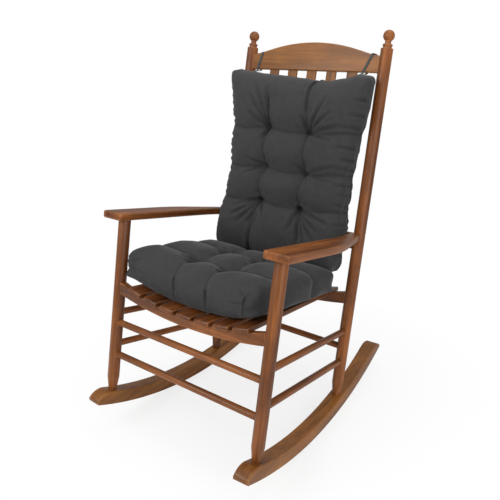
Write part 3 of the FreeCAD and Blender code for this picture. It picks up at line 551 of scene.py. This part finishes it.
def folded_out(spots, half, length, rim):
    """Each vertex's place across and along once the sides are folded out around the top."""
    below = np.clip(rim - spots[:, 2], 0, rim)
    across, along = spots[:, 0].copy(), spots[:, 1].copy()
    beside = np.clip((np.abs(across) - half + EDGE_STRIP) / EDGE_FADE, 0, 1)
    before = np.clip((EDGE_STRIP - along) / EDGE_FADE, 0, 1)
    behind = np.clip((along - length + EDGE_STRIP) / EDGE_FADE, 0, 1)
    across += np.sign(across) * below * beside
    along += below * (behind - before)
    across += HAND_WANDER * np.sin(along / 29 + 1)
    along += HAND_WANDER * np.sin(across / 41)
    return across, along


def near_line(across, along, points):
    """The distance from a line of points, and how far along it the nearest place is, 0 to 1."""
    nearest = np.full(across.shape, 1e9)
    share = np.zeros(across.shape)
    for step, ((x0, y0), (x1, y1)) in enumerate(zip(points, points[1:])):
        run = (x1 - x0) ** 2 + (y1 - y0) ** 2
        part = np.clip(((across - x0) * (x1 - x0) + (along - y0) * (y1 - y0)) / run, 0, 1)
        gap = np.hypot(across - x0 - part * (x1 - x0), along - y0 - part * (y1 - y0))
        share = np.where(gap < nearest, (step + part) / (len(points) - 1), share)
        nearest = np.minimum(gap, nearest)
    return nearest, share


def nearest_of(across, along, lines):
    """The distance from the nearest of several lines."""
    return np.min([near_line(across, along, points)[0] for points in lines], axis=0)


# %% [markdown]
# Pleats and pinches
#
# Thread that pulls a cover in leaves more cloth than there is room for. It gathers in pleats that
# fan out from each tuft and fade, and in short pinches where a sewn line goes over the edge. Each
# pleat is a line with a depth and a width. It is deepest at its first point and has a raised lip
# on each side, so that it catches the light as a fold does. How far each vertex is in a fold, on a
# sewn line or at a tuft is kept as an attribute, and the cloth's colour is darkened there as painted
# shade.

# %% Shaping the sewn lines, the pleats and the tufts, with painted shade in them
PUFF_RISE = 9.0
PUFF_REACH = 25.0
LINE_WIDTH = 4.5
LINE_SHADE = 0.7
TUFT_DEPTH = 9.5
TUFT_REACH = 14
TUFT_RADIUS = 9
LIP_HEIGHT = 0.45
LIP_OFFSET = 2.1
PLEAT_STRENGTH = 1.3
LUMP_HEIGHT = 1.8
LUMP_SIZE = 38


def fan(tuft, pleats, depth, width):
    """Pleats from a tuft, each given by its direction in degrees and its length."""
    x, y = tuft
    ends = [(math.radians(turn), length) for turn, length in pleats]
    return [([(x, y), (x + length * math.cos(turn), y + length * math.sin(turn))], depth, width)
            for turn, length in ends]


def sewn(piece, place, half, length, rim, lines, tufts, pleats):
    """Lift the cover between its sewn lines, press in its tufts and pleats, and paint shade into them."""
    mesh = piece.data
    spots, outward = spots_of(mesh, place), outward_of(mesh, place)
    across, along = folded_out(spots, half, length, rim)
    shown = np.clip(outward[:, 2] * 1.5 + 0.75, 0, 1)
    free = 1 - resting_share(outward)
    gap = nearest_of(across, along, lines)
    move = PUFF_RISE * (0.35 + 0.65 * shown) * (1 - np.exp(-gap / PUFF_REACH)) * free
    # Painted shade: this mask darkens the cloth along sewn lines, at tufts and in pleats.
    crease_shade = np.exp(-(gap / LINE_WIDTH) ** 2) * LINE_SHADE
    for x, y in tufts:
        away = np.hypot(across - x, along - y)
        move -= TUFT_DEPTH * np.exp(-away / TUFT_REACH)
        crease_shade = np.maximum(crease_shade, np.exp(-(away / TUFT_RADIUS) ** 2))
    pressed = np.zeros(across.shape)
    lips = np.zeros(across.shape)
    for points, depth, width in pleats:
        gap, share = near_line(across, along, points)
        fade = np.sqrt(np.clip(1 - share, 0, 1))
        from_lip = (gap - width * LIP_OFFSET) / width
        pressed = np.maximum(pressed, depth * fade * np.exp(-(gap / width) ** 2))
        lips = np.maximum(lips, depth * LIP_HEIGHT * fade * np.exp(-from_lip ** 2))
        crease_shade = np.maximum(crease_shade, LINE_SHADE * fade * np.exp(-(gap / (width * 0.8)) ** 2))
    move += PLEAT_STRENGTH * (lips - pressed) * shown
    lumps = np.array([noise.noise(Vector(spot) / LUMP_SIZE) for spot in spots])
    move += lumps * LUMP_HEIGHT * shown
    put_spots(mesh, place, spots + outward * move[:, None])
    # The painted shade is stored on each vertex for the cloth material.
    shade_attribute = mesh.attributes.new("painted_crease_shade", "FLOAT", "POINT")
    shade_attribute.data.foreach_set("value", (crease_shade * shown).astype(np.float32))
    print(piece.name, len(pleats), "pleats, moved by", round(float(np.abs(move).max()), 1), "mm at most")


# %% Lines and pleats of the seat cushion
SEAT_HALF = 248
SEAT_LENGTH = 378
SEAT_RIM = 112
SEAT_ROWS = (98, 246)
SEAT_TUFTS = [(side * 62, row) for row in SEAT_ROWS for side in (-1, 1)]
seat_lines = [[(side * 62, -92), (side * 60, 20), (side * 62, 98), (side * 64, 246), (side * 60, 470)]
              for side in (-1, 1)]
seat_lines += [[(-340, row), (-150, row + 10), (-62, row), (0, row + 6), (62, row), (150, row + 10),
                (340, row)] for row in SEAT_ROWS]

# The stuffing has left the near front corner, so its pleats are deeper than the far one's.
seat_pleats = []
for side, pull in ((-1, 0.3), (1, 1.0)):
    seat_pleats += [
        ([(side * 212, -6), (side * 214, -95)], 6.5 * pull, 4.0),
        ([(side * 62, -14), (side * 62, -92)], 4.0, 3.5),
        ([(side * 212, -24), (side * 150, -30)], 3.0 * pull, 4.0),
        ([(side * 212, -6), (side * 185, 12)], 3.5 * pull, 5.0),
        ([(side * 212, -6), (side * 226, 16)], 3.5 * pull, 5.0),
        ([(side * 212, -6), (side * 196, -40)], 2.5 * pull, 5.0),
        ([(side * 212, 400), (side * 214, 470)], 4.0, 4.0),
    ]
for x, y in SEAT_TUFTS:
    forward = -90 if y < 150 else 90
    outwards = 0 if x > 0 else 180
    seat_pleats += fan((x, y), [(forward - 24, 46), (forward + 24, 46), (outwards + 22, 60),
                                (outwards - 22, 60), (forward + 150, 40)], 4.5, 5.0)

# %% Lines and pleats of the back cushion
BACK_HALF = 260
BACK_LENGTH = 593
BACK_RIM = 85
BACK_ROWS = (180, 291, 416)
BACK_TUFTS = [(side * 75, row) for row in BACK_ROWS for side in (-1, 1)]
back_lines = [[(-80, 505), (-75, 416), (-82, 350), (-75, 291), (-86, 240), (-75, 180)],
              [(68, 680), (60, 560), (62, 480), (75, 416), (70, 350), (75, 291), (68, 235), (75, 180)],
              [(-75, 180), (-98, 100), (-100, -70)],
              [(75, 180), (86, 90), (84, -70)]]
back_lines += [[(-330, row + 14), (-160, row - 6), (-75, row), (0, row - 8), (75, row), (160, row - 4),
                (330, row + 16)] for row in BACK_ROWS]
BACK_FANS = [
    ((-75, 416), [(128, 135), (113, 150), (96, 130), (150, 95), (255, 40)], 6.5, 6.5),
    ((75, 416), [(62, 130), (38, 105), (118, 60), (10, 130), (-14, 110)], 6.0, 6.0),
    ((-75, 291), [(160, 80), (200, 90), (40, 45)], 3.5, 5.0),
    ((75, 291), [(12, 140), (-10, 130), (140, 45), (-50, 50)], 4.0, 5.5),
    ((-75, 180), [(196, 100), (212, 120), (229, 115), (247, 90), (296, 70)], 6.0, 6.0),
    ((75, 180), [(-84, 110), (-68, 125), (-53, 120), (-38, 110), (-18, 130), (-108, 80)], 7.0, 6.0),
]
back_pleats = [([(70, 660), (66, 480)], 8.5, 5.0), ([(-100, -40), (-99, 80)], 8.0, 4.5)]
for tuft, pleats, depth, width in BACK_FANS:
    back_pleats += fan(tuft, pleats, depth, width)

# Each pinch is a height on the side edge and how far it reaches in from there.
EDGE_PINCHES = [(60, 34), (105, 40), (150, 48), (208, 44), (240, 40), (268, 52), (318, 60), (345, 44),
                (380, 62), (440, 70), (476, 44), (520, 34)]
for height, reach in EDGE_PINCHES:
    for side in (-1, 1):
        back_pleats.append(([(side * 262, height), (side * (255 - reach), height - 5)], 3.4, 5.0))
print(len(seat_pleats), "pleats in the seat,", len(back_pleats), "in the back")


# %% [markdown]
# As a sitter leaves them
#
# A loose cushion never lies as square as its pattern. The seat cushion has slid a little askew and
# its stuffing has gone to the far front corner. The back cushion hangs from its ties, so it has a
# waist and a wide foot. Each of these is a small shift that fades in between two places on the
# cushion. An outline that goes in and out is a few pairs of a place and a shift, read in between.

# %% Laying the cushions
TOP_SHIFTS = [(-260, 13), (-215, 5), (-150, 0), (-90, -5), (0, -11), (110, -17), (165, -7), (205, 4),
              (260, 3)]
FAR_SIDE_SHIFTS = [(0, -36), (80, -22), (160, -4), (250, 20), (430, 21), (500, 14), (590, -8)]
NEAR_SIDE_SHIFTS = [(0, -16), (150, -7), (250, -17), (390, -17), (500, -3), (590, 0)]
ARM_TOP = 235
INSIDE_OF_ARM = -230


def faded_in(place, start, end):
    """0 up to a start, 1 from an end on, and even in between. The end may be the lower of the two."""
    return np.clip((place - start) / (end - start), 0, 1)


def read_between(place, pairs):
    """The shift at each place, read between pairs of a place and a shift."""
    keys, shifts = zip(*pairs)
    return np.interp(place, keys, shifts)


def left_on_the_seat(spots):
    """The seat cushion lies a little askew, fullest at its far front corner."""
    x, y, z = (spots[:, axis].copy() for axis in range(3))
    rolled_sides = faded_in(np.abs(x), 140, 225) ** 1.5
    rolled_front = 0.3 * faded_in(y, 58, 13) ** 2
    full = faded_in(x, -70, -200) * faded_in(y, 300, 100) * faded_in(z, 30, 100)
    corner = faded_in(x, -160, -240) * faded_in(y, 80, 0)
    spots[:, 2] = z + 15 * np.maximum(rolled_sides, rolled_front) * faded_in(z, 62, 17) + 15 * full
    spots[:, 1] = y - 6 * faded_in(y, 90, 0) - 8 * corner
    drawn_in = 0.06 * faded_in(y, 130, 0) ** 1.5 * (x > 0)
    bulge = corner * np.clip(1 - ((z - 75) / 60) ** 2, 0, 1)
    spots[:, 0] = x * (0.99 - drawn_in) - 7 + (y - 190) * 0.04 - 17 * bulge
    return spots


def left_on_the_back(spots):
    """The back cushion has a waist, a wide foot, and a top edge that dips where it is folded."""
    x, y, z = (spots[:, axis].copy() for axis in range(3))
    foot = -12 * faded_in(y, 70, 0) * faded_in(z, 10, 50)
    spots[:, 1] = y + read_between(x, TOP_SHIFTS) * faded_in(y, 430, 580) ** 2 + foot
    sideways = np.where(x < 0, read_between(y, FAR_SIDE_SHIFTS), read_between(y, NEAR_SIDE_SHIFTS))
    hung = x - 2 - 0.016 * y + sideways * faded_in(np.abs(x), 90, 240)
    spots[:, 0] = np.maximum(hung, np.where(y < ARM_TOP, INSIDE_OF_ARM - 0.1 * z, -270))
    return spots


# %% Both covers
VOXEL = 6.0
LINE_HOLD = 0.7
LINE_HOLD_REACH = VOXEL * 0.7
TUFT_HOLD_RADIUS = 10
SEAT_BASE = 24
BACK_BASE = 20
CUSHIONS = {
    "seat_cushion": (seat_cushion_frame, SEAT_HALF, SEAT_LENGTH, SEAT_RIM, seat_lines, SEAT_TUFTS,
                     seat_pleats, SEAT_BASE, left_on_the_seat),
    "back_cushion": (back_cushion_frame, BACK_HALF, BACK_LENGTH, BACK_RIM, back_lines, BACK_TUFTS,
                     back_pleats, BACK_BASE, left_on_the_back),
}
covers = {}
for node, (place, half, length, rim, lines, tufts, pleats, base, left) in CUSHIONS.items():
    cover = cover_blank(node, place, VOXEL)
    spots = spots_of(cover.data, place)
    across, along = folded_out(spots, half, length, rim)
    held = np.where(nearest_of(across, along, lines) < LINE_HOLD_REACH, LINE_HOLD, 0.0)
    for x, y in tufts:
        held = np.where(np.hypot(across - x, along - y) < TUFT_HOLD_RADIUS, 1.0, held)
    held = np.where(spots[:, 2] < base, 1.0, held)
    stuffed(cover, held)
    finer = cover.modifiers.new("finer cloth", "SUBSURF")
    finer.levels = 1
    finer.render_levels = 1
    fine = applied(cover)
    sewn(cover, place, half, length, rim, lines, tufts, pleats)
    put_spots(fine, place, left(spots_of(fine, place)))
    fine.shade_smooth()
    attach(cover, "root")
    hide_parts(node)
    covers[node] = cover
    print(node, len(fine.vertices), "vertices")


# %% [markdown]
# The ties
#
# Two flat tapes, sewn to the cushion's top seam, go up behind and in front of the crest rail. They
# were pulled tight on the slant, so each one leans. An edge as wide as the tape is drawn along the
# tape's path, and a Solidify modifier gives it the tape's thickness.

# %% Slanted tapes round the crest rail
TAPE_WIDTH = 8
TAPE_THICKNESS = 1.3
CREST_FRONT = -11.6
CREST_REAR = 11.6
TIES = (("tie_left", 1, 209, 184), ("tie_right", -1, 193, 206))


def tape(node, path):
    """A flat tape along a path of points, which replaces a tie."""
    shape = bmesh.new()
    half = Vector((TAPE_WIDTH / 2, 0, 0))
    corners = [shape.verts.new(back_frame @ ((Vector(path[0]) + side * half) * MM)) for side in (-1, 1)]
    edge = shape.edges.new(corners)
    for before, after in zip(path, path[1:]):
        made = bmesh.ops.extrude_edge_only(shape, edges=[edge])["geom"]
        step = back_frame.to_3x3() @ ((Vector(after) - Vector(before)) * MM)
        bmesh.ops.translate(shape, vec=step,
                            verts=[item for item in made if isinstance(item, bmesh.types.BMVert)])
        edge = [item for item in made if isinstance(item, bmesh.types.BMEdge)][0]
    piece = new_piece(f"{node}_tape", shape)
    thick = piece.modifiers.new("tape thickness", "SOLIDIFY")
    thick.thickness = TAPE_THICKNESS * MM
    thick.offset = 0
    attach(piece, "root")
    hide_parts(node)
    return piece


tapes = []
for node, side, top, foot in TIES:
    tapes.append(tape(node, [
        (side * foot, -44, 1007), (side * foot, CREST_FRONT, 1018),
        (side * (foot + 2), CREST_FRONT, 1024), (side * top, CREST_FRONT, 1077),
        (side * (top + 1), CREST_REAR, 1077), (side * (foot + 3), CREST_REAR, 1022),
        (side * (foot + 3), CREST_REAR - 4, 1019), (side * (foot + 2), -40, 1008),
    ]))
print(len(tapes), "tapes")


# %% [markdown]
# Charcoal cloth
#
# The covers are a close plain weave in charcoal, matt, with a faint pale bloom where the fibres
# catch light at a glancing angle. The weave is finer than the picture shows, so it is only a fine
# bump from two crossed waves, with a soft mottling that keeps the colour from looking printed. The
# attribute that the sewing left on each cover darkens its folds, sewn lines and tufts as painted
# shade. The ties are a paler, greyer tape.

# %% Cloth material
weave, weave_in, weave_out = new_group(
    "plain weave",
    [("Vector", "NodeSocketVector", None), ("Threads", "NodeSocketFloat", 900.0)],
    [("Height", "NodeSocketFloat"), ("Mottle", "NodeSocketFloat")])
threads = []
for axis, direction in (("X", "warp"), ("Y", "weft")):
    wave = weave.nodes.new("ShaderNodeTexWave")
    wave.label = direction
    wave.bands_direction = axis
    wave.inputs["Distortion"].default_value = 1.5
    wave.inputs["Detail"].default_value = 1.0
    weave.links.new(weave_in.outputs["Vector"], wave.inputs["Vector"])
    weave.links.new(weave_in.outputs["Threads"], wave.inputs["Scale"])
    threads.append(wave.outputs["Fac"])
weave.links.new(calculated(weave, "MULTIPLY", threads[0], threads[1]), weave_out.inputs["Height"])
weave.links.new(stretched_noise(weave, weave_in.outputs["Vector"], (55, 55, 55), 4, 0.6),
                weave_out.inputs["Mottle"])


# How much painted shade darkens the cloth in its folds, and how dark it gets there.
FOLD_SHADE = 0.65
FOLD_DARKNESS = 0.25


def woven_cloth(name, place, dark, light):
    """A matt cloth in a plain weave, square to the frame of what it covers, with painted shade in its
    folds.
    """
    material = bpy.data.materials.new(name)
    material.use_nodes = True
    tree = material.node_tree
    shader = tree.nodes["Principled BSDF"]
    coordinates = tree.nodes.new("ShaderNodeTexCoord")
    turn = tree.nodes.new("ShaderNodeMapping")
    turn.inputs["Rotation"].default_value = place.inverted().to_euler()
    tree.links.new(coordinates.outputs["Object"], turn.inputs["Vector"])
    woven = use_group(tree, weave)
    tree.links.new(turn.outputs["Vector"], woven.inputs["Vector"])
    colour = mixed(tree, remapped(tree, woven.outputs["Mottle"], 0.3, 0.7), dark, light)
    # Painted shade: the attribute left by the sewing darkens the colour in folds, on sewn lines and at
    # tufts.
    painted_crease_shade = tree.nodes.new("ShaderNodeAttribute")
    painted_crease_shade.attribute_name = "painted_crease_shade"
    fold_shade_share = remapped(tree, painted_crease_shade.outputs["Fac"], 0.0, 1.0, 0.0, FOLD_SHADE)
    shaded = mixed(tree, fold_shade_share, colour, darker(dark, FOLD_DARKNESS))
    tree.links.new(shaded, shader.inputs["Base Color"])
    bump = tree.nodes.new("ShaderNodeBump")
    bump.inputs["Strength"].default_value = 0.3
    bump.inputs["Distance"].default_value = 0.0003
    tree.links.new(woven.outputs["Height"], bump.inputs["Height"])
    tree.links.new(bump.outputs["Normal"], shader.inputs["Normal"])
    shader.inputs["Roughness"].default_value = 0.82
    shader.inputs["Specular IOR Level"].default_value = 0.3
    shader.inputs["Sheen Weight"].default_value = 0.12
    shader.inputs["Sheen Roughness"].default_value = 0.45
    return material


CHARCOAL = (0.025, 0.025, 0.026, 1)
CHARCOAL_PALE = (0.031, 0.031, 0.032, 1)
TAPE_GREY = (0.050, 0.056, 0.054, 1)
TAPE_PALE = (0.075, 0.085, 0.080, 1)
for node, place in (("seat_cushion", seat_cushion_frame), ("back_cushion", back_cushion_frame)):
    covers[node].data.materials.append(woven_cloth(f"{node} cloth", place, CHARCOAL, CHARCOAL_PALE))
tape_cloth = woven_cloth("tie tape", chair, TAPE_GREY, TAPE_PALE)
for piece in tapes:
    piece.data.materials.append(tape_cloth)


# %% [markdown]
# A plain studio
#
# The chair stands on a pale floor in front of plain white, with next to no shadow. The floor takes
# the chair's shadow as any surface does, but for the camera alone it is mixed with white: three
# quarters of it near the chair, which leaves a trace of the shadow, and all of it from 0.9 m out,
# so that no edge shows. The light on the chair itself stays soft and ordinary.

# %% Floor and world
FLOOR_REACH = 12.0
WHITE_STARTS = 0.2
WHITE_IS_FULL = 0.9
WHITE_NEAR_CHAIR = 0.75
WORLD_LIGHT = 0.45
sheet = bmesh.new()
bmesh.ops.create_grid(sheet, x_segments=1, y_segments=1, size=FLOOR_REACH)
floor = new_piece("studio floor", sheet)

floor_material = bpy.data.materials.new("pale floor")
floor_material.use_nodes = True
tree = floor_material.node_tree
floor_shader = tree.nodes["Principled BSDF"]
floor_shader.inputs["Base Color"].default_value = (0.9, 0.9, 0.9, 1)
floor_shader.inputs["Roughness"].default_value = 0.9
coordinates = tree.nodes.new("ShaderNodeTexCoord")
distance = tree.nodes.new("ShaderNodeVectorMath")
distance.operation = "LENGTH"
tree.links.new(coordinates.outputs["Object"], distance.inputs[0])
far = remapped(tree, distance.outputs["Value"], WHITE_STARTS, WHITE_IS_FULL, WHITE_NEAR_CHAIR, 1.0)
white = tree.nodes.new("ShaderNodeEmission")
blend = tree.nodes.new("ShaderNodeMixShader")
seen = tree.nodes.new("ShaderNodeLightPath")
tree.links.new(calculated(tree, "MULTIPLY", far, seen.outputs["Is Camera Ray"]), blend.inputs[0])
tree.links.new(floor_shader.outputs[0], blend.inputs[1])
tree.links.new(white.outputs[0], blend.inputs[2])
tree.links.new(blend.outputs[0], tree.nodes["Material Output"].inputs["Surface"])
floor.data.materials.append(floor_material)

world = bpy.data.worlds.new("studio")
bpy.context.scene.world = world
world.use_nodes = True
tree = world.node_tree
soft_light = tree.nodes["Background"]
soft_light.inputs["Color"].default_value = (1, 1, 1, 1)
soft_light.inputs["Strength"].default_value = WORLD_LIGHT
backdrop = tree.nodes.new("ShaderNodeBackground")
backdrop.inputs["Color"].default_value = (1, 1, 1, 1)
seen = tree.nodes.new("ShaderNodeLightPath")
blend = tree.nodes.new("ShaderNodeMixShader")
tree.links.new(seen.outputs["Is Camera Ray"], blend.inputs[0])
tree.links.new(soft_light.outputs[0], blend.inputs[1])
tree.links.new(backdrop.outputs[0], blend.inputs[2])
tree.links.new(blend.outputs[0], tree.nodes["World Output"].inputs["Surface"])


# %% Lamps
def soft_lamp(name, place, aim, size, power):
    """A square lamp at one place that shines at another."""
    lamp = bpy.data.lights.new(name, "AREA")
    lamp.size = size
    lamp.energy = power
    holder = bpy.data.objects.new(name, lamp)
    holder.location = place
    holder.rotation_mode = "QUATERNION"
    holder.rotation_quaternion = (Vector(aim) - Vector(place)).to_track_quat("-Z", "Y")
    bpy.context.scene.collection.objects.link(holder)


soft_lamp("key", (-1.1, -2.4, 2.3), (0, 0, 0.55), 1.6, 57)
soft_lamp("fill", (2.6, -1.2, 1.5), (0, 0, 0.5), 2.0, 40)
soft_lamp("top", (0.2, 0.4, 3.0), (0, 0, 0.4), 2.0, 30)
bpy.context.scene.view_settings.view_transform = "Standard"
